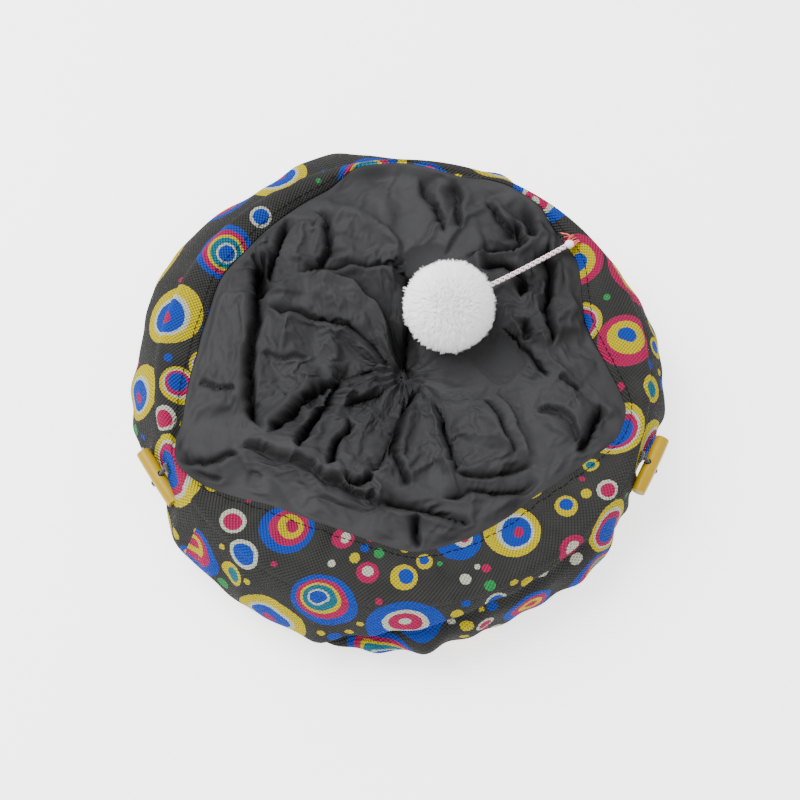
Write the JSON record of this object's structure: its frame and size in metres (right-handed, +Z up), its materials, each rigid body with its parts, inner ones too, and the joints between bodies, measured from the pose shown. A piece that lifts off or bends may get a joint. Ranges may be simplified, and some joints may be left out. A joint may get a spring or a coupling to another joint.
{
  "type": "cat tunnel",
  "caption": "Folded pop-up cat tunnel: printed canvas rings with a black pleated lining, a pompom on a cord in the mouth and toggles that hold it flat.",
  "frame": {"origin": "on the floor under the middle of the folded tunnel", "axes": "+Z up along the tunnel's axis, +X to the right, -Y towards the viewer"},
  "size_m": [0.2764, 0.2722, 0.0856],
  "materials": {
    "printed_canvas": "matte woven canvas with coloured rings and dots",
    "black_nylon": "thin crumpled nylon with a soft sheen",
    "spring_steel": "drawn wire",
    "crimp_brass": "crimped tube",
    "yellow_plastic": "smooth moulded plastic",
    "black_cord": "round elastic cord",
    "pink_braid": "white braid with pink flecks",
    "white_fur": "short soft fur",
    "red_thread": "sewing thread"
  },
  "bodies": {
    "base": {"base_hem": "printed_canvas", "base_hoop": "spring_steel", "base_hoop_ferrule": "crimp_brass", "coil_clip_base": "crimp_brass", "spring_coil": "spring_steel", "outer_sleeve": "printed_canvas", "inner_liner": "black_nylon", "loop_left": "black_cord", "loop_right": "black_cord"},
    "top": {"top_hem": "printed_canvas", "top_hoop": "spring_steel", "top_hoop_ferrule": "crimp_brass", "coil_clip_top": "crimp_brass", "anchor_stitch": "red_thread"},
    "toggle_right": {"toggle_right": "yellow_plastic", "toggle_stem_right": "black_cord", "toggle_knot_right": "black_cord"},
    "toggle_left": {"toggle_left": "yellow_plastic", "toggle_stem_left": "black_cord", "toggle_knot_left": "black_cord"},
    "pompom_knot": {"cord_knot": "pink_braid"},
    "pompom": {"pompom": "white_fur", "pompom_cord": "pink_braid"}
  },
  "joints": [
    {"name": "extend", "type": "slide", "parent": "base", "child": "top", "axis": [0, 0, 1], "range_m": [0, 0.844], "deforming": ["outer_sleeve", "inner_liner", "spring_coil"]},
    {"name": "lift_toggle_right", "type": "hinge", "parent": "top", "child": "toggle_right", "pos_m": [0.12072, -0.04877, 0.0475], "axis": [-0.3746, -0.9272, 0], "range_deg": [0, 60], "deforming": ["loop_right"]},
    {"name": "lift_toggle_left", "type": "hinge", "parent": "top", "child": "toggle_left", "pos_m": [-0.118, -0.05502, 0.0475], "axis": [-0.4226, 0.9063, 0], "range_deg": [0, 60], "deforming": ["loop_left"]},
    {"name": "pompom_turn", "type": "hinge", "parent": "top", "child": "pompom_knot", "pos_m": [0.09028, 0.07181, 0.05639], "axis": [0, 0, 1], "range_deg": [-25, 25]},
    {"name": "pompom_lift", "type": "hinge", "parent": "pompom_knot", "child": "pompom", "pos_m": [0.09028, 0.07181, 0.05639], "axis": [-0.5309, 0.8474, 0], "range_deg": [0, 110]}
  ]
}
